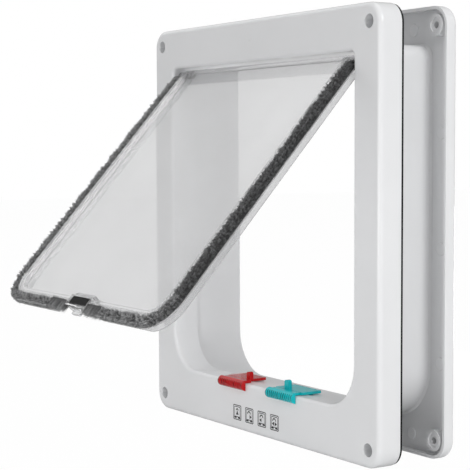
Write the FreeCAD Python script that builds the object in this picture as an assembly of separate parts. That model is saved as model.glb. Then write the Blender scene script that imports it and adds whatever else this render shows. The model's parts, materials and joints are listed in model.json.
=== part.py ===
import FreeCAD
import Part
import math
import os

# Cat flap for a door: a front frame with a short collar, a rear frame with a long tunnel that slides over
# the collar, a clear swinging flap edged with pile, and two sliding latches on the sill.
# Millimetres. X runs across the frame, +Y from the front frame through the door, +Z up.
# The origin is the centre of the four screw holes, in the plane where the front frame's back edge ends.

# Frame outline, shared by both frames
frame_w = 239.0
frame_h = 250.0
corner_r = 11.0
edge_r = 2.75

# Front frame moulding
front_depth = 14.7
face_t = 2.8
outer_wall_t = 3.4
boss_r = 7.2
rear_boss_r = 6.0
screw_in_x = 9.5
screw_in_z = 10.3
screw_hole_r = 2.3
screw_head_r = 3.8
screw_head_depth = 8.0
rib_t = 1.6
rib_pitch = 45.0
sill_rib_in = 32.4

# Opening that the cat walks through, and the collar behind it
side_border = 23.1
head_border = 25.2
sill_border = 29.8
sill_corner_r = 25.0
head_corner_r = 3.0
opening_edge_r = 2.0
collar_t = 1.9
collar_reach = 3.3
collar_step = 0.5
collar_step_depth = 9.1

# Foam seal between the front frame and the door
seal_t = 1.5
seal_inset = 0.3

# Rear frame, drawn at the door thickness of the photograph
door_gap = 31.0
rim_depth = 7.9
rim_t = 1.7
plate_t = 3.0
tunnel_t = 2.6
tunnel_fit = 0.3
tunnel_overlap = 7.0
tunnel_floor_drop = 5.5
tunnel_root_c = 1.2
mouth_c = 1.0
pilot_r = 2.0
boss_ring_r = 4.1
boss_ring_depth = 0.7

# Hinge
hinge_depth = 6.5
hinge_drop = 4.8
pin_r = 1.2
pin_fit = 0.05
pin_seat = 0.02
bearing_r = 3.2
bearing_reach = 4.0
bearing_wall = 1.4
pin_grip = 12.6
knuckle_r = 2.8
knuckle_wall = 1.5
knuckle_gap = 0.8
bead_r = 1.9
bead_rise = 2.6
open_angle = 42.0

# Flap, drawn closed with its hinge axis at zero, front towards minus Y
sheet_front = -0.42
sheet_t = 1.6
side_gap = 2.5
sill_gap = 5.06
sheet_corner_r = 17.0
skirt_back = 4.18
skirt_t = 1.4
lip_front = -3.92
lip_t = 1.4
lip_inset = 4.9
lip_rise = 3.0
lip_corner_inset = 2.5
web_inset = 2.8
web_t = 1.5
post_notch_half_w = 31.0
post_notch_rise = 2.74
pin_window_w = 3.4
pin_window_h = 1.7

# Pile strip round the flap
pile_reach = 1.6
pile_front = -4.9
pile_drop = 2.46
pile_corner_add = 4.5
pile_top = -3.7
pile_notch_rise = 2.54
pile_fit = 0.05

# Magnet and its clip at the middle of the flap's lower edge
holder_half_w = 13.0
holder_frame = 0.9
holder_tab_half_w = 11.6
holder_tab_h = 2.1
magnet_half_w = 10.5
magnet_rise = 2.54
magnet_h = 5.2
red_floor_t = 1.2
teal_floor_t = 0.3
tooth_drop = 1.5
tooth_t = 1.5
tooth_inner_x = 3.0
post_clear = 0.3

# Latches on the sill
latch_clear = 0.2
latch_plate_t = 1.6
latch_back = 18.4
grip_w = 27.0
grip_bottom_drop = 4.3
grip_h = 6.4
post_side_r = 1.5
grip_grooves = 12
grip_pitch = 2.0
grip_groove_w = 0.9
grip_groove_depth = 0.8
slot_front = 9.6
slot_back = 14.4
leg_t = 1.2
leg_w = 6.0
barb = 1.0
barb_h = 1.6
red_grip_x = -37.5
red_plate_w = 22.2
red_travel = 11.5
red_post_x = -18.8
red_post_w = 3.5
red_post_y = 6.0
red_post_d = 2.8
teal_grip_x = 15.5
teal_plate_w = 27.0
teal_travel = 14.0
teal_post_x = 24.0
teal_post_w = 4.2
teal_post_y = 4.8
teal_post_d = 2.5

# Magnet under the sill and the cover that holds it
sill_magnet_half_w = 10.5
sill_magnet_d = 5.0
sill_magnet_h = 3.0
cover_half_w = 14.0
cover_t = 1.4
pad_h = 2.0

# Derived values
face_y = -front_depth
half_w = frame_w / 2
half_h = frame_h / 2
screw_x = half_w - screw_in_x
screw_z = half_h - screw_in_z
opening_half_w = half_w - side_border
opening_top = half_h - head_border
opening_bottom = -half_h + sill_border
hinge_y = face_y + hinge_depth
hinge_z = opening_top - hinge_drop
rear_face_y = door_gap + rim_depth
rear_plate_y = rear_face_y - plate_t
collar_half_w = opening_half_w + collar_t
collar_top = opening_top + collar_t
collar_bottom = opening_bottom - collar_t
tunnel_in_half_w = collar_half_w + tunnel_fit
tunnel_in_top = collar_top + tunnel_fit
tunnel_in_bottom = collar_bottom - tunnel_floor_drop
tunnel_start = collar_reach - tunnel_overlap
bearing_out = collar_half_w + bearing_reach
knuckle_x = opening_half_w - knuckle_gap
pin_inner_x = knuckle_x - pin_grip
bead_x = opening_half_w - head_corner_r - knuckle_gap
sheet_back = sheet_front + sheet_t
sheet_half_w = opening_half_w - side_gap
sheet_bottom = opening_bottom + sill_gap - hinge_z
post_notch_top = sheet_bottom + post_notch_rise
lip_half_w = sheet_half_w - lip_inset
lip_bottom = sheet_bottom + lip_rise
lip_corner_r = sheet_corner_r - lip_corner_inset
web_half_w = lip_half_w - web_inset
web_bottom = lip_bottom + web_inset
web_corner_r = lip_corner_r - web_inset
pile_half_w = sheet_half_w + pile_reach
pile_bottom = sheet_bottom - pile_drop
pile_corner_r = sheet_corner_r + pile_corner_add
pile_notch_bottom = sheet_bottom + pile_notch_rise
magnet_bottom = sheet_bottom + magnet_rise
magnet_top = magnet_bottom + magnet_h
holder_top = magnet_top + holder_frame
holder_tab_top = holder_top + holder_tab_h
red_floor = magnet_bottom - red_floor_t
teal_floor = magnet_bottom - teal_floor_t
latch_z = opening_bottom + latch_clear
latch_top = latch_z + latch_plate_t


def slab(hw, z_lo, z_hi, r_lo, r_hi, y0, y1):
    """A plate with rounded corners, hw to each side of the middle, from y0 to y1."""
    def point(x, z):
        return FreeCAD.Vector(x, y0, z)

    def corner(cx, cz, r, start):
        a = [math.radians(start + turn) for turn in (0, 45, 90)]
        return Part.Arc(*[point(cx + r * math.cos(t), cz + r * math.sin(t)) for t in a]).toShape()

    edges = [
        Part.makeLine(point(-hw + r_lo, z_lo), point(hw - r_lo, z_lo)),
        corner(hw - r_lo, z_lo + r_lo, r_lo, -90),
        Part.makeLine(point(hw, z_lo + r_lo), point(hw, z_hi - r_hi)),
        corner(hw - r_hi, z_hi - r_hi, r_hi, 0),
        Part.makeLine(point(hw - r_hi, z_hi), point(-hw + r_hi, z_hi)),
        corner(-hw + r_hi, z_hi - r_hi, r_hi, 90),
        Part.makeLine(point(-hw, z_hi - r_hi), point(-hw, z_lo + r_lo)),
        corner(-hw + r_lo, z_lo + r_lo, r_lo, 180),
    ]
    face = Part.Face(Part.Wire(edges))
    return face.extrude(FreeCAD.Vector(0, y1 - y0, 0))


def box(x0, x1, y0, y1, z0, z1):
    """A box between two corners."""
    return Part.makeBox(x1 - x0, y1 - y0, z1 - z0, FreeCAD.Vector(x0, y0, z0))


def rod_y(x, z, r, y0, y1):
    """A round bar along Y."""
    return Part.makeCylinder(r, y1 - y0, FreeCAD.Vector(x, y0, z), FreeCAD.Vector(0, 1, 0))


def rod_x(x0, x1, y, z, r):
    """A round bar along X."""
    return Part.makeCylinder(r, x1 - x0, FreeCAD.Vector(x0, y, z), FreeCAD.Vector(1, 0, 0))


def fuse(shapes):
    """Join shapes into one clean solid."""
    whole = shapes[0].multiFuse(shapes[1:])
    return whole.removeSplitter()


def edges_in_plane(shape, y, inside=None):
    """Edges that lie in the plane at y, and pass the test inside on their middle point."""
    found = []
    for edge in shape.Edges:
        box_of = edge.BoundBox
        if abs(box_of.YMin - y) < 1e-4 and abs(box_of.YMax - y) < 1e-4:
            middle = edge.valueAt((edge.FirstParameter + edge.LastParameter) / 2)
            if inside is None or inside(middle):
                found.append(edge)
    return found


def spaced(low, high, pitch):
    """Places a pitch apart, set evenly between two ends."""
    count = int((high - low) / pitch)
    start = (low + high - (count - 1) * pitch) / 2
    return [start + i * pitch for i in range(count)]


def screw_places():
    """The four screw holes, from the driving distances."""
    return [(sx * screw_x, sz * screw_z) for sx in (-1, 1) for sz in (-1, 1)]


def opened(shape):
    """Turn a flap piece from closed to its open rest pose, and put it on the hinge axis."""
    shape.rotate(FreeCAD.Vector(0, 0, 0), FreeCAD.Vector(1, 0, 0), -open_angle)
    shape.translate(FreeCAD.Vector(0, hinge_y, hinge_z))
    return shape


def front_frame():
    """Hollow moulded frame with a rounded face, screw bosses, ribs, collar, bearings and latch slots."""
    body = slab(half_w, -half_h, half_h, corner_r, corner_r, face_y, 0)
    body = body.makeFillet(edge_r, edges_in_plane(body, face_y))
    inner_r = corner_r - outer_wall_t
    body = body.cut(slab(half_w - outer_wall_t, -half_h + outer_wall_t, half_h - outer_wall_t,
                         inner_r, inner_r, face_y + face_t, 1))
    collar = slab(collar_half_w, collar_bottom, collar_top, sill_corner_r + collar_t,
                  head_corner_r + collar_t, face_y + face_t / 2, collar_reach)
    adds = [collar]
    for x, z in screw_places():
        adds.append(rod_y(x, z, boss_r, face_y + face_t / 2, 0))
    rib_back = tunnel_start - 0.6
    wall_x = half_w - outer_wall_t / 2
    wall_z = half_h - outer_wall_t / 2
    for x in spaced(-opening_half_w, opening_half_w, rib_pitch):
        adds.append(box(x - rib_t / 2, x + rib_t / 2, face_y + face_t / 2, rib_back,
                        opening_top, wall_z))
    for side in (-1, 1):
        for z in spaced(opening_bottom, opening_top, rib_pitch):
            x0, x1 = sorted((side * opening_half_w, side * wall_x))
            adds.append(box(x0, x1, face_y + face_t / 2, rib_back, z - rib_t / 2, z + rib_t / 2))
        x = side * (opening_half_w - sill_rib_in)
        adds.append(box(x - rib_t / 2, x + rib_t / 2, face_y + face_t / 2, rib_back,
                        -wall_z, collar_bottom + 1))
        x0, x1 = sorted((side * opening_half_w, side * bearing_out))
        adds.append(rod_x(x0, x1, hinge_y, hinge_z, bearing_r))
        pocket_x = side * (sill_magnet_half_w + 0.8)
        adds.append(box(pocket_x - 0.6, pocket_x + 0.6, face_y + face_t / 2, face_y + face_t + 6.2,
                        collar_bottom - sill_magnet_h - pad_h, collar_bottom + 1))
    body = fuse([body] + adds)
    body = body.cut(slab(opening_half_w, opening_bottom, opening_top, sill_corner_r, head_corner_r,
                         face_y - 1, collar_reach + 1))
    body = body.cut(slab(opening_half_w + collar_step, opening_bottom - collar_step,
                         opening_top + collar_step, sill_corner_r + collar_step,
                         head_corner_r + collar_step, face_y + collar_step_depth, collar_reach + 1))
    cuts = []
    for x, z in screw_places():
        cuts.append(rod_y(x, z, screw_hole_r, face_y - 1, 1))
        cuts.append(rod_y(x, z, screw_head_r, face_y - 1, face_y + screw_head_depth))
    for side in (-1, 1):
        x0, x1 = sorted((side * (opening_half_w - 2), side * (bearing_out - bearing_wall)))
        cuts.append(rod_x(x0, x1, hinge_y, hinge_z, pin_r + pin_fit))
    for x0, x1 in latch_slots():
        cuts.append(box(x0, x1, face_y + slot_front, face_y + slot_back,
                        collar_bottom - 1, opening_bottom + 1))
    for cut in cuts:
        body = body.cut(cut)
    hole_edge = edges_in_plane(body, face_y, lambda p: abs(p.x) < opening_half_w + 1
                               and opening_bottom - 1 < p.z < opening_top + 1)
    return body.makeFillet(opening_edge_r, hole_edge)


def latch_slots():
    """Start and end of the two slots in the sill, from the legs and the travel of each latch."""
    red_leg = red_grip_x + 2.5
    teal_leg = teal_grip_x + grip_w - 2.0 - leg_w
    play = 0.4
    return [(red_leg - play, red_leg + leg_w + red_travel + play),
            (teal_leg - teal_travel - play, teal_leg + leg_w + play)]


def foam_seal():
    """Strip of black foam on the front frame's back edge, all the way round."""
    outer = slab(half_w - seal_inset, -half_h + seal_inset, half_h - seal_inset,
                 corner_r - seal_inset, corner_r - seal_inset, 0, seal_t)
    inner_r = corner_r - outer_wall_t
    inner = slab(half_w - outer_wall_t, -half_h + outer_wall_t, half_h - outer_wall_t,
                 inner_r, inner_r, -1, seal_t + 1)
    return outer.cut(inner)


def rear_frame():
    """Shallow tray with screw bosses, and the tunnel that slides over the collar."""
    body = slab(half_w, -half_h, half_h, corner_r, corner_r, door_gap, rear_face_y)
    body = body.makeFillet(edge_r, edges_in_plane(body, rear_face_y))
    inner_r = corner_r - rim_t
    body = body.cut(slab(half_w - rim_t, -half_h + rim_t, half_h - rim_t, inner_r, inner_r,
                         door_gap - 1, rear_plate_y))
    out_r = sill_corner_r + collar_t + tunnel_t + 1.0
    head_r = head_corner_r + collar_t + tunnel_fit + tunnel_t
    tunnel = slab(tunnel_in_half_w + tunnel_t, tunnel_in_bottom - tunnel_t, tunnel_in_top + tunnel_t,
                  out_r, head_r, tunnel_start, rear_face_y - plate_t / 2)
    body = fuse([body, tunnel])
    root = edges_in_plane(body, rear_plate_y, lambda p: abs(p.x) < tunnel_in_half_w + tunnel_t + 0.5
                          and p.z < tunnel_in_top + tunnel_t + 0.5
                          and p.z > tunnel_in_bottom - tunnel_t - 0.5)
    body = body.makeChamfer(tunnel_root_c, root)
    bosses = [rod_y(x, z, rear_boss_r, door_gap, rear_plate_y + 1) for x, z in screw_places()]
    body = fuse([body] + bosses)
    hole = slab(tunnel_in_half_w, tunnel_in_bottom, tunnel_in_top, out_r - tunnel_t,
                head_r - tunnel_t, tunnel_start - 1, rear_face_y + 1)
    body = body.cut(hole)
    for x, z in screw_places():
        body = body.cut(rod_y(x, z, pilot_r, door_gap - 1, rear_face_y - 1.2))
        body = body.cut(rod_y(x, z, boss_ring_r, door_gap - 1, door_gap + boss_ring_depth))
    edge = edges_in_plane(body, rear_face_y, lambda p: abs(p.x) < tunnel_in_half_w + 0.5
                          and tunnel_in_bottom - 0.5 < p.z < tunnel_in_top + 0.5)
    return body.makeChamfer(mouth_c, edge)


def flap_panel():
    """Clear moulding: flat sheet, front lip on a web, back skirt, bead along the top, hinge knuckles."""
    sheet = slab(sheet_half_w, sheet_bottom, bead_rise, sheet_corner_r, 0.5, sheet_front, sheet_back)
    skirt = slab(sheet_half_w, sheet_bottom, -1, sheet_corner_r, 0.5, sheet_back - 0.5, skirt_back)
    skirt = skirt.cut(slab(sheet_half_w - skirt_t, sheet_bottom + skirt_t, 20,
                           sheet_corner_r - skirt_t, 0.5, sheet_back - 1, skirt_back + 1))
    web = slab(web_half_w, web_bottom, -1, web_corner_r, 0.5, lip_front, sheet_front + 0.5)
    lip = slab(lip_half_w, lip_bottom, -1, lip_corner_r, 0.5, lip_front, lip_front + lip_t)
    rim = fuse([web, lip])
    rim = rim.cut(slab(web_half_w - web_t, web_bottom + web_t, 20, web_corner_r - web_t, 0.5,
                       lip_front - 1, sheet_front + 1))
    rim = rim.cut(box(-holder_half_w, holder_half_w, lip_front - 1, sheet_front,
                      lip_bottom - 1, web_bottom + web_t + 1))
    adds = [rod_x(-bead_x, bead_x, (sheet_front + sheet_back) / 2, bead_rise, bead_r)]
    for side in (-1, 1):
        x0, x1 = sorted((side * (pin_inner_x - knuckle_wall), side * knuckle_x))
        adds.append(rod_x(x0, x1, 0, 0, knuckle_r))
    panel = fuse([sheet, skirt, rim] + adds)
    panel = panel.cut(box(-post_notch_half_w, post_notch_half_w, sheet_front - 0.01, skirt_back + 1,
                          sheet_bottom - 1, post_notch_top))
    for side in (-1, 1):
        x0, x1 = sorted((side * pin_inner_x, side * (knuckle_x + 1)))
        panel = panel.cut(rod_x(x0, x1, 0, 0, pin_r + pin_seat))
        x0, x1 = sorted((side * (pin_inner_x + 0.4), side * (pin_inner_x + 0.4 + pin_window_w)))
        panel = panel.cut(box(x0, x1, lip_front - 1, 0, -pin_window_h / 2, pin_window_h / 2))
    return opened(panel)


def pile_strip(side):
    """One half of the pile: down the side, round the corner and along to the magnet clip."""
    thick = slab(pile_half_w, pile_bottom, pile_top, pile_corner_r, 0.5, pile_front, sheet_front)
    inner = slab(web_half_w + pile_fit, web_bottom - pile_fit, 20, web_corner_r + pile_fit, 0.5,
                 pile_front - 1, sheet_front + 1)
    lip = slab(lip_half_w + pile_fit, lip_bottom - pile_fit, 20, lip_corner_r + pile_fit, 0.5,
               pile_front - 1, lip_front + lip_t + pile_fit)
    strip = thick.cut(inner).cut(lip)
    strip = strip.cut(box(-post_notch_half_w - 0.5, post_notch_half_w + 0.5, pile_front - 1,
                          sheet_front + 1, pile_bottom - 1, pile_notch_bottom))
    x0, x1 = sorted((side * (holder_half_w + pile_fit), side * (pile_half_w + 1)))
    strip = strip.common(box(x0, x1, pile_front - 1, sheet_front + 1, pile_bottom - 1, 1))
    return opened(strip)


def flap_magnet():
    """Flat bar magnet in the clip."""
    bar = box(-magnet_half_w, magnet_half_w, lip_front + 0.1, sheet_front, magnet_bottom, magnet_top)
    bar = bar.makeChamfer(0.3, [e for e in bar.Edges if e.BoundBox.XLength < 0.01])
    return opened(bar)


def magnet_holder():
    """Clear clip over the flap's lower edge, with a pocket for the magnet and two stop teeth."""
    body = box(-holder_half_w, holder_half_w, lip_front, skirt_back, teal_floor, holder_top)
    red_half = box(-holder_half_w, 0, lip_front, skirt_back, red_floor, holder_top)
    tab = box(-holder_tab_half_w, holder_tab_half_w, lip_front + 1.0, sheet_front,
              holder_top - 1, holder_tab_top)
    tab = tab.makeFillet(1.2, [e for e in tab.Edges if abs(e.BoundBox.ZMin - holder_tab_top) < 1e-4
                               and e.BoundBox.XLength < 0.01])
    back_hook = box(-holder_half_w, holder_half_w, skirt_back - tooth_t, skirt_back,
                    holder_top - 1, holder_tab_top)
    back_tooth = box(-holder_half_w, -tooth_inner_x, skirt_back - tooth_t, skirt_back,
                     red_floor - tooth_drop, red_floor + 0.5)
    front_tooth = box(-0.5, holder_half_w, lip_front, lip_front + tooth_t,
                      teal_floor - tooth_drop, teal_floor + 0.5)
    body = fuse([body, red_half, tab, back_hook, back_tooth, front_tooth])
    body = body.cut(box(-magnet_half_w, magnet_half_w, lip_front - 1, sheet_front,
                        magnet_bottom, magnet_top))
    body = body.cut(box(-holder_half_w - 1, holder_half_w + 1, sheet_front, sheet_back,
                        post_notch_top, holder_tab_top + 1))
    body = body.cut(box(-holder_half_w + 1.6, holder_half_w - 1.6, sheet_back - 0.1,
                        skirt_back - tooth_t, post_notch_top, holder_tab_top + 1))
    return opened(body)


def hinge_pin(side):
    """Short steel pin, fast in the flap's knuckle and free in the frame's bearing."""
    end_x = bearing_out - bearing_wall - 0.3
    x0, x1 = sorted((side * (pin_inner_x + 0.2), side * end_x))
    pin = rod_x(x0, x1, hinge_y, hinge_z, pin_r)
    return pin.makeChamfer(0.3, [e for e in pin.Edges if e.BoundBox.XLength < 0.01
                                 and abs(e.BoundBox.XMin - side * end_x) < 0.01])


def latch(grip_x, plate_w, post_x, post_w, post_y, post_d, floor, leg_x):
    """Sliding latch: ribbed half-round grip on the face, plate over the sill, post, legs with barbs."""
    grip_r = grip_h / 2
    grip_y = face_y - latch_clear
    grip_z = opening_bottom - grip_bottom_drop + grip_r
    grip = rod_x(grip_x, grip_x + grip_w, grip_y, grip_z, grip_r)
    grip = grip.common(box(grip_x, grip_x + grip_w, grip_y - grip_r, grip_y, grip_z - grip_r, grip_z + grip_r))
    first = grip_x + grip_w / 2 - (grip_grooves - 1) * grip_pitch / 2
    for i in range(grip_grooves):
        x = first + i * grip_pitch
        grip = grip.cut(box(x - grip_groove_w / 2, x + grip_groove_w / 2, grip_y - grip_r - 1,
                            grip_y - grip_r + grip_groove_depth, grip_z - grip_r, grip_z + grip_r))
    neck = box(grip_x + 1.2, grip_x + grip_w - 1.2, face_y - 1.2, face_y + 4.6, latch_z, latch_top)
    plate = box(grip_x, grip_x + plate_w, face_y + 4.0, face_y + latch_back, latch_z, latch_top)
    plate = plate.makeFillet(0.7, [e for e in plate.Edges if abs(e.BoundBox.YMin - face_y - latch_back) < 0.01
                                   and e.BoundBox.ZLength > 1])
    post_top = hinge_z + floor - post_clear
    pin = box(post_x, post_x + post_w, face_y + post_y, face_y + post_y + post_d, latch_top - 0.5, post_top)
    pin = pin.makeFillet(post_side_r, [e for e in pin.Edges if e.BoundBox.ZMin > post_top - 0.01
                                       and e.BoundBox.YLength > 1])
    barb_top = collar_bottom - latch_clear
    legs = []
    for y0, way in ((slot_front + 0.3, -1), (slot_back - 0.3, 1)):
        inner_y = face_y + y0 - way * leg_t
        outer_y = face_y + y0
        shape = [(inner_y, latch_z + 0.5), (outer_y, latch_z + 0.5), (outer_y, barb_top),
                 (outer_y + way * barb, barb_top), (outer_y, barb_top - barb_h),
                 (inner_y, barb_top - barb_h)]
        wire = Part.makePolygon([FreeCAD.Vector(leg_x, yy, zz) for yy, zz in shape + shape[:1]])
        legs.append(Part.Face(wire).extrude(FreeCAD.Vector(leg_w, 0, 0)))
    body = fuse([grip, neck, plate, pin] + legs)
    groove = box(grip_x - 1, grip_x + grip_w + 1, face_y + 4.0, face_y + 4.6, latch_top - 0.5, latch_top + 1)
    return body.cut(groove)


def red_latch():
    """Latch at the left: slides to the right to stop the flap from swinging out."""
    return latch(red_grip_x, red_plate_w, red_post_x, red_post_w, red_post_y, red_post_d,
                 red_floor, red_grip_x + 2.5)


def teal_latch():
    """Latch at the right: slides to the left to stop the flap from swinging in."""
    leg_x = teal_grip_x + grip_w - 2.0 - leg_w
    return latch(teal_grip_x, teal_plate_w, teal_post_x, teal_post_w, teal_post_y, teal_post_d,
                 teal_floor, leg_x)


def sill_magnet():
    """Bar magnet under the sill that draws the flap shut."""
    y0 = face_y + face_t + 0.2
    return box(-sill_magnet_half_w + 0.3, sill_magnet_half_w - 0.3, y0, y0 + sill_magnet_d,
               collar_bottom - sill_magnet_h, collar_bottom)


def sill_magnet_cover():
    """Small cover pressed between the pocket walls, which holds the sill magnet up."""
    y0 = face_y + face_t
    z1 = collar_bottom - sill_magnet_h
    z0 = z1 - pad_h
    pad = box(-sill_magnet_half_w - 0.1, sill_magnet_half_w + 0.1, y0 + 0.2, y0 + 5.4, z0 - 0.5, z1)
    base = box(-cover_half_w, cover_half_w, y0 + 0.2, y0 + 6.2, z0 - cover_t, z0)
    return fuse([pad, base])


parts = {
    "front_frame": front_frame,
    "foam_seal": foam_seal,
    "rear_frame": rear_frame,
    "flap_panel": flap_panel,
    "pile_left": lambda: pile_strip(-1),
    "pile_right": lambda: pile_strip(1),
    "flap_magnet": flap_magnet,
    "magnet_holder": magnet_holder,
    "hinge_pin_left": lambda: hinge_pin(-1),
    "hinge_pin_right": lambda: hinge_pin(1),
    "red_latch": red_latch,
    "teal_latch": teal_latch,
    "sill_magnet": sill_magnet,
    "sill_magnet_cover": sill_magnet_cover,
}

os.makedirs("parts", exist_ok=True)
for name, make in parts.items():
    shape = make()
    if len(shape.Solids) == 1:
        shape = shape.Solids[0]
    shape.exportStep("parts/" + name + ".step")
    bounds = shape.BoundBox
    print(name, shape.isValid(), len(shape.Solids), "volume", round(shape.Volume),
          [round(v, 2) for v in (bounds.XMin, bounds.XMax, bounds.YMin, bounds.YMax,
                                 bounds.ZMin, bounds.ZMax)])
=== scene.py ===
import bpy
import bmesh
import json
import math
import random
from mathutils import Matrix, Vector, noise


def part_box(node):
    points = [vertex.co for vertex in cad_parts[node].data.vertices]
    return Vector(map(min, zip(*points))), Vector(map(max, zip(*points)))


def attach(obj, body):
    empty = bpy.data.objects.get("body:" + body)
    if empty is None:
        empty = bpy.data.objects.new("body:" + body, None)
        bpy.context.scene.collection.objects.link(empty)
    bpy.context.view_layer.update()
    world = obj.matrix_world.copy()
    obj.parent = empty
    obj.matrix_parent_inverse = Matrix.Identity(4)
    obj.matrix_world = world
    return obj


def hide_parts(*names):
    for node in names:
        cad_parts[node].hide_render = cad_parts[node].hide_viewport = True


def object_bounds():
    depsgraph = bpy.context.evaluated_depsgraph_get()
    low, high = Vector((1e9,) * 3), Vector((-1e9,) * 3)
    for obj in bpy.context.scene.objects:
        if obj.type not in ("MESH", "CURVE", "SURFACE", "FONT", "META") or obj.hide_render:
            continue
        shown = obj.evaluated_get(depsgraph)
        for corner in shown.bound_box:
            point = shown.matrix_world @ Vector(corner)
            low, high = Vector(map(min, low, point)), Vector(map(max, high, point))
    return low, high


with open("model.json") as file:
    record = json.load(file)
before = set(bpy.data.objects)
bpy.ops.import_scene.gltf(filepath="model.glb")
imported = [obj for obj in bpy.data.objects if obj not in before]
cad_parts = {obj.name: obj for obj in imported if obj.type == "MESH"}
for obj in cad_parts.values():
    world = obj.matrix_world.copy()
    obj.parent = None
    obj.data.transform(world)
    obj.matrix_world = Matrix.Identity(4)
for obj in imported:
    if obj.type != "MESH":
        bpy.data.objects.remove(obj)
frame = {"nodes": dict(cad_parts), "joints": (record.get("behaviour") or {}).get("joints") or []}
cad_box = [list(corner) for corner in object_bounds()]
nodes = frame["nodes"]


# The two frames are injection moulded in white ABS with a fine satin grain.
# Each is one moulding: the front one faces the room, and the rear one clamps the far side of the
# door. The small cover that holds the magnet under the sill is moulded in the same plastic.
def set_inputs(node, **values):
    """Set a node's inputs by their names, with _ for a space."""
    for name, value in values.items():
        node.inputs[name.replace("_", " ")].default_value = value


def add(tree, kind, **values):
    """Add a node, and set its inputs."""
    node = tree.nodes.new(kind)
    set_inputs(node, **values)
    return node


def new_material(name):
    """A new material, with its nodes and its shader."""
    material = bpy.data.materials.new(name)
    material.use_nodes = True
    tree = material.node_tree
    return material, tree, tree.nodes["Principled BSDF"]


def object_place(tree, scale=(1, 1, 1)):
    """The piece's own place in space, as the pattern's coordinates."""
    place = tree.nodes.new("ShaderNodeTexCoord")
    mapping = add(tree, "ShaderNodeMapping", Scale=scale)
    tree.links.new(place.outputs["Object"], mapping.inputs["Vector"])
    return mapping.outputs["Vector"]


def cloud(tree, at, scale, detail, roughness):
    """Soft noise from 0 to 1 over the piece."""
    pattern = add(tree, "ShaderNodeTexNoise", Scale=scale, Detail=detail, Roughness=roughness)
    tree.links.new(at, pattern.inputs["Vector"])
    return pattern.outputs["Fac"]


def ramp(tree, source, stops):
    """Turn a 0 to 1 value into a colour through the given stops."""
    node = tree.nodes.new("ShaderNodeValToRGB")
    elements = node.color_ramp.elements
    for element, (position, colour) in zip(elements, (stops[0], stops[-1])):
        element.position = position
        element.color = colour
    for position, colour in stops[1:-1]:
        elements.new(position).color = colour
    tree.links.new(source, node.inputs["Fac"])
    return node.outputs["Color"]


def rough_up(tree, shader, height, strength, distance):
    """Raise and sink the surface by a pattern."""
    bump = add(tree, "ShaderNodeBump", Strength=strength, Distance=distance)
    tree.links.new(height, bump.inputs["Height"])
    tree.links.new(bump.outputs["Normal"], shader.inputs["Normal"])


def dress(node_name, material):
    """Give a moulded node its finish."""
    for slot in nodes[node_name].material_slots:
        slot.material = material


def satin_white():
    material, tree, shader = new_material("satin_white_abs")
    at = object_place(tree)
    shading = cloud(tree, at, scale=14.0, detail=3.0, roughness=0.55)
    tone = ramp(tree, shading, [(0.3, (0.79, 0.795, 0.805, 1)), (0.7, (0.82, 0.825, 0.835, 1))])
    tree.links.new(tone, shader.inputs["Base Color"])
    grain = cloud(tree, at, scale=2600.0, detail=2.0, roughness=0.6)
    rough_up(tree, shader, grain, strength=0.08, distance=0.00012)
    set_inputs(shader, Roughness=0.2, Specular_IOR_Level=0.5)
    return material


white = satin_white()
for node_name in ("front_frame", "rear_frame", "sill_magnet_cover"):
    dress(node_name, white)


# Round ejector pins push each frame out of its mould, and leave shallow discs on the rear tray.
# The plastic entered the front frame at one point on its face, where a small gate mark is left.
tray_plate_t = 0.0030
tray_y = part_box("rear_frame")[1][1] - tray_plate_t
face_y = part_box("front_frame")[0][1]
pin_mark_r = 0.0037
pin_mark_rise = 0.0006
side_mark_x = 0.110
side_mark_zs = (0.056, -0.008, -0.072)
end_mark_xs = (-0.086, 0, 0.086)
end_mark_zs = (0.1136, -0.1152)
gate_place = (-0.0056, 0.1125)
gate_r = 0.0007
gate_rise = 0.00025
disc_steps = 28
disc_edge = ((0.0, 0.7), (0.15, 0.3))


def disc(bm, x, y, z, radius, rise):
    """A low round disc that stands on a face towards -Y, with its edge taken off."""
    facing = Matrix.Translation((x, y, z)) @ Matrix.Rotation(math.radians(90), 4, "X")
    made = bmesh.ops.create_circle(bm, cap_ends=True, segments=disc_steps, radius=radius,
                                   matrix=facing)
    face = made["verts"][0].link_faces[0]
    for inward, up in disc_edge:
        grown = bmesh.ops.extrude_discrete_faces(bm, faces=[face])
        face = grown["faces"][0]
        middle = face.calc_center_median()
        for vert in face.verts:
            vert.co = middle + (vert.co - middle) * (1 - inward) + Vector((0, -rise * up, 0))


def finished_piece(name, bm, material, body):
    """Make an object of a finished mesh, and name its body."""
    mesh = bpy.data.meshes.new(name)
    bm.to_mesh(mesh)
    bm.free()
    mesh.materials.append(material)
    piece = bpy.data.objects.new(name, mesh)
    bpy.context.scene.collection.objects.link(piece)
    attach(piece, body)


pin_marks = [(side * side_mark_x, z) for z in side_mark_zs for side in (-1, 1)]
pin_marks += [(x, z) for z in end_mark_zs for x in end_mark_xs]
bm = bmesh.new()
for x, z in pin_marks:
    disc(bm, x, tray_y, z, pin_mark_r, pin_mark_rise)
bmesh.ops.recalc_face_normals(bm, faces=bm.faces)
finished_piece("ejector_marks", bm, white, "frame")

bm = bmesh.new()
disc(bm, gate_place[0], face_y, gate_place[1], gate_r, gate_rise)
bmesh.ops.recalc_face_normals(bm, faces=bm.faces)
finished_piece("gate_mark", bm, white, "frame")


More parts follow.
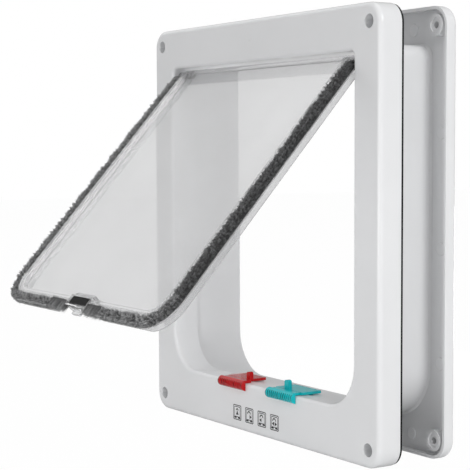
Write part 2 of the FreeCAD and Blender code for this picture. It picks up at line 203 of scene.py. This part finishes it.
# A strip of black closed-cell foam is glued along the back edge of the front frame.
# It is pressed flat between the frame and the door, and keeps the draught out.
def black_foam():
    material, tree, shader = new_material("black_foam")
    cells = add(tree, "ShaderNodeTexVoronoi", Scale=1900.0)
    tree.links.new(object_place(tree), cells.inputs["Vector"])
    tone = ramp(tree, cells.outputs["Distance"],
                [(0.1, (0.005, 0.005, 0.006, 1)), (0.7, (0.014, 0.014, 0.015, 1))])
    tree.links.new(tone, shader.inputs["Base Color"])
    rough_up(tree, shader, cells.outputs["Distance"], strength=0.5, distance=0.0002)
    set_inputs(shader, Roughness=0.9, Specular_IOR_Level=0.15)
    return material


dress("foam_seal", black_foam())


# Two short drawn steel pins carry the flap in the frame's bearings.
# They are pressed into the flap's two hinge knuckles and turn freely in the frame.
def pin_steel():
    material, tree, shader = new_material("drawn_steel")
    at = object_place(tree, scale=(200, 4000, 4000))
    lines = cloud(tree, at, scale=1.0, detail=2.0, roughness=0.6)
    tone = ramp(tree, lines, [(0.3, (0.7, 0.71, 0.72, 1)), (0.7, (0.82, 0.83, 0.84, 1))])
    tree.links.new(tone, shader.inputs["Base Color"])
    set_inputs(shader, Metallic=1.0, Roughness=0.32)
    return material


steel = pin_steel()
for node_name in ("hinge_pin_left", "hinge_pin_right"):
    dress(node_name, steel)


# The flap is one polycarbonate moulding: sheet, front lip, back skirt, top bead and knuckles.
# A thin film veils its sheet a little. The magnet's clip is a second, clearer moulding.
# Both let the light through, so neither one throws a shadow.
def clear_plastic(name, dark, light, clearness, gloss):
    material, tree, shader = new_material(name)
    haze = cloud(tree, object_place(tree), scale=30.0, detail=3.0, roughness=0.6)
    tree.links.new(ramp(tree, haze, [(0.3, dark), (0.7, light)]), shader.inputs["Base Color"])
    set_inputs(shader, Transmission_Weight=clearness, Specular_IOR_Level=gloss,
               Roughness=0.04, IOR=1.5)
    return material


dress("flap_panel", clear_plastic("veiled_polycarbonate", dark=(0.66, 0.661, 0.666, 1),
                                  light=(0.69, 0.691, 0.696, 1), clearness=0.75, gloss=0.5))
dress("magnet_holder", clear_plastic("clear_polycarbonate", dark=(0.82, 0.822, 0.828, 1),
                                     light=(0.86, 0.862, 0.868, 1), clearness=1.0, gloss=0.15))
for node_name in ("flap_panel", "magnet_holder"):
    nodes[node_name].visible_shadow = False


# The two magnets are sintered ferrite bars, dark grey and matt, with finely pitted faces.
# One is held in the flap's clip, and the other lies in a pocket under the sill and draws it shut.
def ferrite():
    material, tree, shader = new_material("ferrite")
    pits = cloud(tree, object_place(tree), scale=900.0, detail=3.0, roughness=0.6)
    tone = ramp(tree, pits, [(0.35, (0.008, 0.008, 0.008, 1)), (0.7, (0.02, 0.02, 0.021, 1))])
    tree.links.new(tone, shader.inputs["Base Color"])
    rough_up(tree, shader, pits, strength=0.3, distance=0.0001)
    set_inputs(shader, Roughness=0.65, Specular_IOR_Level=0.12)
    return material


magnet_grey = ferrite()
for node_name in ("flap_magnet", "sill_magnet"):
    dress(node_name, magnet_grey)


# A strip of dense grey pile is glued in the channel round the flap's sides and foot.
# It is polypropylene fibre woven into a pale backing tape, and brushes the opening to seal it.
# The fibres stand square to the flap's edge, and close the notch where the latch posts pass.
flap_open_deg = 42
swing = next(joint for joint in frame["joints"] if joint["name"] == "flap_swing")
hinge_turn = Matrix.Rotation(math.radians(-flap_open_deg), 4, "X")
flap_open = Matrix.Translation(swing["pos_m"]) @ hinge_turn

# Places on the closed flap, from its hinge.
strip_back_y = -0.0006
lip_front_y = -0.0039
lip_half_w = 0.0890
lip_bottom = -0.18214
lip_corner = Vector((0.0745, -0.16764))
lip_corner_r = 0.0145
lip_to_edge = 0.006
pile_corner = (0.0740, -0.1661)
pile_top = -0.006
fibre_end = -0.1874
post_gap = 0.0315
brushed_x = 0.0962

# The fibres: their spacing, how far the dense part lies inside their tips, and how far they reach.
fibre_pitch = 0.00042
edge_set_back = 0.0013
front_set_back = 0.0008
edge_reach = 0.0005
edge_tuft_reach = 0.0016
edge_spread = 0.0003
notch_spread = 0.0012
notch_clear = 0.003
notch_short = 0.0007
front_upright = 0.42
front_splay = 0.0008
outer_tuft_splay = 0.0024
inner_tuft_splay = 0.0042
front_lift = 0.0003
front_tuft_lift = 0.0017
lift_dies_out = 0.012
tufts_per_metre = 800.0
tuft_middle = 0.45
tuft_contrast = 2.0
waves_per_metre = 500.0
wave_start = Vector((3, 7, 5))
wave_sway = 0.0012
loose_sway = 0.0005
# How light the fibre tips are; the lower value is painted shade on the right strip's side.
tip_light = 1.1
shaded_tip_light = 0.55
notch_tip_light = 0.8


def colour_mix(tree, blend, first, second):
    """Mix a colour output with another one, or with a plain colour."""
    mix = tree.nodes.new("ShaderNodeMix")
    mix.data_type = "RGBA"
    mix.blend_type = blend
    tree.links.new(first, mix.inputs["A"])
    if isinstance(second, tuple):
        set_inputs(mix, B=second)
    else:
        tree.links.new(second, mix.inputs["B"])
    return mix


def pile_grey():
    """Fibres painted dark at the roots as shade deep in the pile, light at the tips, and the pale
    tape where no fibre stands.
    """
    material, tree, shader = new_material("grey_pile")
    tip = tree.nodes.new("ShaderNodeAttribute")
    tip.attribute_name = "tip"
    # Painted shade: the colour is darkest at the fibre roots, where the pile is deepest.
    fibre = ramp(tree, tip.outputs["Fac"],
                 [(0.0, (0.05, 0.05, 0.051, 1)), (0.25, (0.24, 0.242, 0.245, 1)),
                  (0.55, (0.46, 0.463, 0.467, 1)), (1.0, (0.75, 0.755, 0.76, 1))])
    patches = cloud(tree, object_place(tree), scale=800.0, detail=2.0, roughness=0.7)
    shade = ramp(tree, patches, [(0.35, (0.55, 0.55, 0.55, 1)), (0.65, (1.0, 1.0, 1.0, 1))])
    shaded = colour_mix(tree, "MULTIPLY", fibre, shade)
    set_inputs(shaded, Factor=1.0)
    tape = tree.nodes.new("ShaderNodeAttribute")
    tape.attribute_name = "tape"
    backed = colour_mix(tree, "MIX", shaded.outputs["Result"], (0.75, 0.75, 0.75, 1))
    tree.links.new(tape.outputs["Fac"], backed.inputs["Factor"])
    tree.links.new(backed.outputs["Result"], shader.inputs["Base Color"])
    set_inputs(shader, Roughness=0.85, Sheen_Weight=0.15, Sheen_Roughness=0.4)
    return material


def outward(place, side):
    """Which way the fibres point at a place: sideways, down, or between at the corner."""
    away = Vector((side * place.x - pile_corner[0], 0, place.z - pile_corner[1]))
    if away.z > 0:
        return Vector((side, 0, 0))
    if away.x < 0:
        return Vector((0, 0, -1))
    away.normalize()
    return Vector((side * away.x, 0, away.z))


def across(place, side):
    """How far out a place is on the strip's front: 0 at the clear lip, 1 at the strip's edge."""
    from_lip = max(side * place.x - lip_half_w, lip_bottom - place.z)
    if side * place.x > pile_corner[0] and place.z < pile_corner[1]:
        from_lip = (Vector((side * place.x, place.z)) - lip_corner).length - lip_corner_r
    return min(1, max(0, from_lip / lip_to_edge))


def even_skin(piece):
    """The piece's surface as a mesh of small even squares."""
    skin = piece.modifiers.new("even_skin", "REMESH")
    skin.mode = "VOXEL"
    skin.voxel_size = fibre_pitch
    depsgraph = bpy.context.evaluated_depsgraph_get()
    mesh = bpy.data.meshes.new_from_object(piece.evaluated_get(depsgraph))
    piece.modifiers.clear()
    return mesh


def rooted_faces(bm, side):
    """The faces that fibres grow from: along the strip's edge, and on its front and top end."""
    edges, fronts = [], []
    for face in bm.faces:
        middle = face.calc_center_median()
        if face.normal.dot(outward(middle, side)) > 0.5 and middle.y < strip_back_y:
            edges.append(face)
        elif face.normal.y < -0.3 and middle.y < lip_front_y:
            fronts.append(face)
        elif face.normal.z > 0.5 and middle.z > pile_top:
            fronts.append(face)
    return edges, fronts


def draw_out(vert, side, on_edge, draw):
    """Draw the middle of a face out into a fibre, and return how light its tip is."""
    way = outward(vert.co, side)
    along = way.cross(Vector((0, 1, 0)))
    bunch = noise.noise(vert.co * tufts_per_metre)
    tuft = min(1, max(0, tuft_middle + tuft_contrast * bunch)) * (0.5 + 0.5 * draw.random())
    # Painted shade: the right strip's side fibres, above the corner, get darker tips.
    in_shade = side > 0 and vert.co.z > pile_corner[1]
    light = (0.2 + 0.8 * tuft) * (shaded_tip_light if in_shade else tip_light)
    if on_edge:
        reach = edge_reach + edge_tuft_reach * tuft
        lift = edge_spread * (draw.random() - 0.3)
        if abs(vert.co.x) < post_gap and vert.co.z > fibre_end + notch_clear:
            reach += vert.co.z - fibre_end - notch_short
            lift = notch_spread * (draw.random() - 0.4)
            light *= notch_tip_light
    else:
        splay = across(vert.co, side) - front_upright
        tuft_splay = outer_tuft_splay if splay > 0 else inner_tuft_splay
        reach = splay * (front_splay + tuft_splay * tuft)
        lift = (front_lift + front_tuft_lift * tuft) * min(1, -vert.co.z / lift_dies_out)
    wave = noise.noise(vert.co * waves_per_metre + wave_start)
    sway = loose_sway * (draw.random() - 0.5) + wave_sway * wave
    vert.co += way * reach + Vector((0, -lift, 0)) + along * sway
    vert.co.x = max(-brushed_x, min(brushed_x, vert.co.x))
    return light


def bristled(node_name, side, material):
    """Turn the pile's solid into an even skin, and draw every face that shows into a fibre."""
    piece = bpy.data.objects.new(node_name + "_fibres", nodes[node_name].data.copy())
    bpy.context.scene.collection.objects.link(piece)
    mesh = even_skin(piece)
    bm = bmesh.new()
    bm.from_mesh(mesh)
    bm.transform(flap_open.inverted())
    bm.normal_update()
    tip = bm.verts.layers.float.new("tip")
    tape = bm.verts.layers.float.new("tape")
    edges, fronts = rooted_faces(bm, side)
    rooted = set(edges) | set(fronts)
    for vert in bm.verts:
        if rooted.isdisjoint(vert.link_faces):
            vert[tape] = 1.0
    for vert in {vert for face in edges for vert in face.verts}:
        vert.co -= outward(vert.co, side) * edge_set_back
    for vert in {vert for face in fronts for vert in face.verts}:
        vert.co.y += front_set_back
    draw = random.Random(11 + side)
    grown = bmesh.ops.poke(bm, faces=edges + fronts, offset=0.0, center_mode="MEAN_WEIGHTED",
                           use_relative_offset=False)
    edge_count = len(edges)
    for number, vert in enumerate(grown["verts"]):
        vert[tip] = draw_out(vert, side, number < edge_count, draw)
    bm.transform(flap_open)
    bm.to_mesh(mesh)
    bm.free()
    mesh.materials.clear()
    mesh.materials.append(material)
    piece.data = mesh
    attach(piece, "flap")
    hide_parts(node_name)


pile = pile_grey()
bristled("pile_left", -1, pile)
bristled("pile_right", 1, pile)


# The two latches are glossy mouldings in red and teal, snapped through slots in the sill.
# Each has a ribbed grip on the face, a plate over the sill and a post that meets the flap.
# The grip's grooves are 2 mm apart, and painted shade darkens the colour in them.
groove_pitch = 0.0020
groove_w = 0.0009
groove_reach = 0.0009
first_groove = 0.0025
# How far the painted shade in the grooves darkens the colour.
groove_painted_shade = (0.38, 0.38, 0.38, 1)


def calculate(tree, operation, first, second):
    """One step of arithmetic, between two outputs or an output and a number."""
    step = tree.nodes.new("ShaderNodeMath")
    step.operation = operation
    for socket, value in zip(step.inputs, (first, second)):
        if isinstance(value, float):
            socket.default_value = value
        else:
            tree.links.new(value, socket)
    return step.outputs[0]


def grooves(tree, at, node_name):
    """1 in the grooves of a latch's grip, and 0 elsewhere."""
    left, front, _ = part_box(node_name)[0]
    parts = tree.nodes.new("ShaderNodeSeparateXYZ")
    tree.links.new(at, parts.inputs["Vector"])
    from_first = calculate(tree, "SUBTRACT", parts.outputs["X"], left + first_groove)
    from_nearest = calculate(tree, "PINGPONG", from_first, groove_pitch / 2)
    in_groove = calculate(tree, "LESS_THAN", from_nearest, groove_w / 2)
    in_grip = calculate(tree, "LESS_THAN", parts.outputs["Y"], front + groove_reach)
    return calculate(tree, "MULTIPLY", in_groove, in_grip)


def latch_plastic(name, node_name, dark, light):
    material, tree, shader = new_material(name)
    at = object_place(tree)
    shading = cloud(tree, at, scale=90.0, detail=2.0, roughness=0.5)
    tone = ramp(tree, shading, [(0.3, dark), (0.7, light)])
    # Painted shade: the colour is darker in the grip's grooves.
    groove_shaded = colour_mix(tree, "MULTIPLY", tone, groove_painted_shade)
    tree.links.new(grooves(tree, at, node_name), groove_shaded.inputs["Factor"])
    tree.links.new(groove_shaded.outputs["Result"], shader.inputs["Base Color"])
    set_inputs(shader, Roughness=0.13, Specular_IOR_Level=0.32)
    return material


dress("red_latch", latch_plastic("red_plastic", "red_latch",
                                 dark=(0.48, 0.002, 0.004, 1), light=(0.54, 0.004, 0.007, 1)))
dress("teal_latch", latch_plastic("teal_plastic", "teal_latch",
                                  dark=(0.004, 0.48, 0.52, 1), light=(0.006, 0.54, 0.58, 1)))


# Four small signs are pad printed in black under the latches, one for each way of setting them.
# They are plain pictograms: shut, out only, in only, and both ways.
ink_y = face_y - 0.00003
sign_xs = (-0.0202, -0.0067, 0.0070, 0.0205)
sign_z = -0.1141
sign_w = 0.0090
sign_h = 0.0094
sign_line = 0.00055
window_rise = 0.0004
window_w = 0.0068
window_h = 0.0066
window_line = 0.00045
foot_x = 0.0022
foot_drop = 0.0033
foot_w = 0.0028
foot_h = 0.0009
arch_line = 0.0008
arch_steps = 14
shut_arch = (0, 0.0012, 0.0014)
open_arch = (-0.0003, 0.0009, 0.0019)
shut_arrow = (0.0006, 0.0018)
way_arrow = (0.0007, 0.0015)
way_arrow_x = 0.0011


def printing_ink():
    material, tree, shader = new_material("black_ink")
    film = cloud(tree, object_place(tree), scale=700.0, detail=2.0, roughness=0.6)
    tone = ramp(tree, film, [(0.3, (0.008, 0.008, 0.009, 1)), (0.7, (0.02, 0.02, 0.022, 1))])
    tree.links.new(tone, shader.inputs["Base Color"])
    set_inputs(shader, Roughness=0.5)
    return material


def on_face(x, z, turn_deg=0):
    """A place on the front face, with a turn in its plane."""
    upright = Matrix.Rotation(math.radians(90), 4, "X")
    turned = Matrix.Rotation(math.radians(turn_deg), 4, "Z")
    return Matrix.Translation((x, ink_y, z)) @ upright @ turned


def bar(bm, x, z, w, h, turn_deg=0):
    """A flat printed bar, by its middle and its size."""
    place = on_face(x, z, turn_deg) @ Matrix.Diagonal((w / 2, h / 2, 1, 1))
    bmesh.ops.create_grid(bm, x_segments=1, y_segments=1, size=1.0, matrix=place)


def outline(bm, x, z, w, h, line):
    """A rectangular outline with cut corners."""
    straight_stop = 1.2 * line
    slant_inset = 0.95 * line
    slant_length = 2.3 * line
    for turn in (-1, 1):
        bar(bm, x + turn * (w - line) / 2, z, line, h - 2 * straight_stop)
        bar(bm, x, z + turn * (h - line) / 2, w - 2 * straight_stop, line)
        for tilt in (-1, 1):
            bar(bm, x + turn * (w / 2 - slant_inset), z + tilt * (h / 2 - slant_inset),
                slant_length, line, -45 * turn * tilt)


def arch(bm, x, z, radius):
    """The upper half of a printed ring, swept from its right foot."""
    feet = [bm.verts.new((x + radius - line, ink_y, z)) for line in (arch_line, 0)]
    edge = bm.edges.new(feet)
    bmesh.ops.spin(bm, geom=feet + [edge], cent=(x, ink_y, z), axis=(0, -1, 0), angle=math.pi,
                   steps=arch_steps)


def arrow(bm, x, z, size, turn_deg):
    """A solid printed triangle that points up, turned to the left from there."""
    bmesh.ops.create_circle(bm, cap_ends=True, segments=3, radius=size,
                            matrix=on_face(x, z, turn_deg))


def sign(bm, x, points_right, points_left):
    """One sign: a door's frame and its window, with an arch and arrows for the open ways."""
    outline(bm, x, sign_z, sign_w, sign_h, sign_line)
    outline(bm, x, sign_z + window_rise, window_w, window_h, window_line)
    for side in (-1, 1):
        bar(bm, x + side * foot_x, sign_z - foot_drop, foot_w, foot_h)
    is_open = points_right or points_left
    shift, rise, radius = open_arch if is_open else shut_arch
    arch(bm, x + shift, sign_z + rise, radius)
    drop, size = way_arrow if is_open else shut_arrow
    if not is_open:
        arrow(bm, x, sign_z - drop, size, 0)
    if points_right:
        arrow(bm, x + way_arrow_x, sign_z - drop, size, -90)
    if points_left:
        arrow(bm, x - way_arrow_x, sign_z - drop, size, 90)


bm = bmesh.new()
ways = ((False, False), (True, False), (False, True), (True, True))
for x, (points_right, points_left) in zip(sign_xs, ways):
    sign(bm, x, points_right, points_left)
bmesh.ops.recalc_face_normals(bm, faces=bm.faces)
for face in bm.faces:
    if face.normal.y > 0:
        face.normal_flip()
finished_piece("setting_signs", bm, printing_ink(), "frame")


# Around the part: a pale floor at its foot, and a white backdrop that only the camera sees.
# The floor and the backdrop look the same white, also through the clear sheet.
floor_z = cad_box[0][2]
floor_half = 4.0
floor_whiteness = 0.98


def seen(tree):
    """1 where the camera looks, also through clear plastic, and 0 for light."""
    path = tree.nodes.new("ShaderNodeLightPath")
    return calculate(tree, "MAXIMUM", path.outputs["Is Camera Ray"],
                     path.outputs["Is Transmission Ray"])


def show(tree, share, lit, looked_at, surface):
    """Show one shader to the camera by a share, and leave the other one to the light."""
    mix = tree.nodes.new("ShaderNodeMixShader")
    for socket, output in zip(mix.inputs, (share, lit.outputs[0], looked_at.outputs[0])):
        tree.links.new(output, socket)
    tree.links.new(mix.outputs[0], surface)


def pale_floor():
    material, tree, shader = new_material("pale_floor")
    set_inputs(shader, Base_Color=(0.85, 0.85, 0.85, 1), Roughness=0.9)
    glow = add(tree, "ShaderNodeEmission", Color=(1, 1, 1, 1), Strength=1.0)
    share = calculate(tree, "MULTIPLY", seen(tree), floor_whiteness)
    show(tree, share, shader, glow, tree.nodes["Material Output"].inputs["Surface"])
    return material


floor_mesh = bpy.data.meshes.new("floor")
bm = bmesh.new()
bmesh.ops.create_grid(bm, x_segments=1, y_segments=1, size=floor_half,
                      matrix=Matrix.Translation((0, 0, floor_z)))
bm.to_mesh(floor_mesh)
bm.free()
floor = bpy.data.objects.new("floor", floor_mesh)
floor.data.materials.append(pale_floor())
bpy.context.scene.collection.objects.link(floor)

world = bpy.data.worlds.new("studio")
world.use_nodes = True
bpy.context.scene.world = world
studio = world.node_tree
surroundings = studio.nodes["Background"]
set_inputs(surroundings, Color=(1, 1, 1, 1), Strength=0.4)
backdrop = add(studio, "ShaderNodeBackground", Color=(1, 1, 1, 1), Strength=1.0)
show(studio, seen(studio), surroundings, backdrop, studio.nodes["World Output"].inputs["Surface"])


# Six soft lamps light the part as in the photograph, mostly from its right and from above.
# The camera was fitted to the photograph from the corners of the two frames.
def soft_lamp(name, place, target, size, power):
    """A square area lamp that looks at a point, and isn't seen, also not through clear plastic."""
    data = bpy.data.lights.new(name, "AREA")
    data.shape = "SQUARE"
    data.size = size
    data.energy = power
    lamp = bpy.data.objects.new(name, data)
    lamp.location = place
    lamp.rotation_euler = (Vector(target) - Vector(place)).to_track_quat("-Z", "Y").to_euler()
    lamp.visible_camera = False
    lamp.visible_transmission = False
    bpy.context.scene.collection.objects.link(lamp)


soft_lamp("lamp_side", place=(2.1, -0.15, 1.0), target=(0, 0, 0), size=0.8, power=22)
soft_lamp("lamp_front", place=(0.75, -2.3, 0.0), target=(0, 0, 0), size=0.6, power=5.1)
soft_lamp("lamp_low", place=(0.2, -0.6, -0.04), target=(0, 0, 0.05), size=0.15, power=0.48)
soft_lamp("lamp_back", place=(-0.17, 0.36, -0.06), target=(0, 0, 0.06), size=0.12, power=0.6)
soft_lamp("lamp_left", place=(-1.9, -0.24, 1.12), target=(0, -0.07, 0.03), size=1.6, power=6)
soft_lamp("lamp_top", place=(0.2, 0.1, 2.4), target=(0, 0, 0), size=1.6, power=11)

camera_data = bpy.data.cameras.new("camera")
camera_data.sensor_width = 36.0
camera_data.lens = 107.78
camera_data.shift_x = -0.02702
camera_data.shift_y = 0.03736
camera_data.clip_start = 0.01
camera = bpy.data.objects.new("camera", camera_data)
camera.location = (0.70211, -0.47750, 0.04615)
camera.rotation_euler = (math.radians(90 - 4.106), math.radians(0.191), math.radians(56.888))
bpy.context.scene.collection.objects.link(camera)
bpy.context.scene.camera = camera
bpy.context.scene.view_settings.view_transform = "Standard"
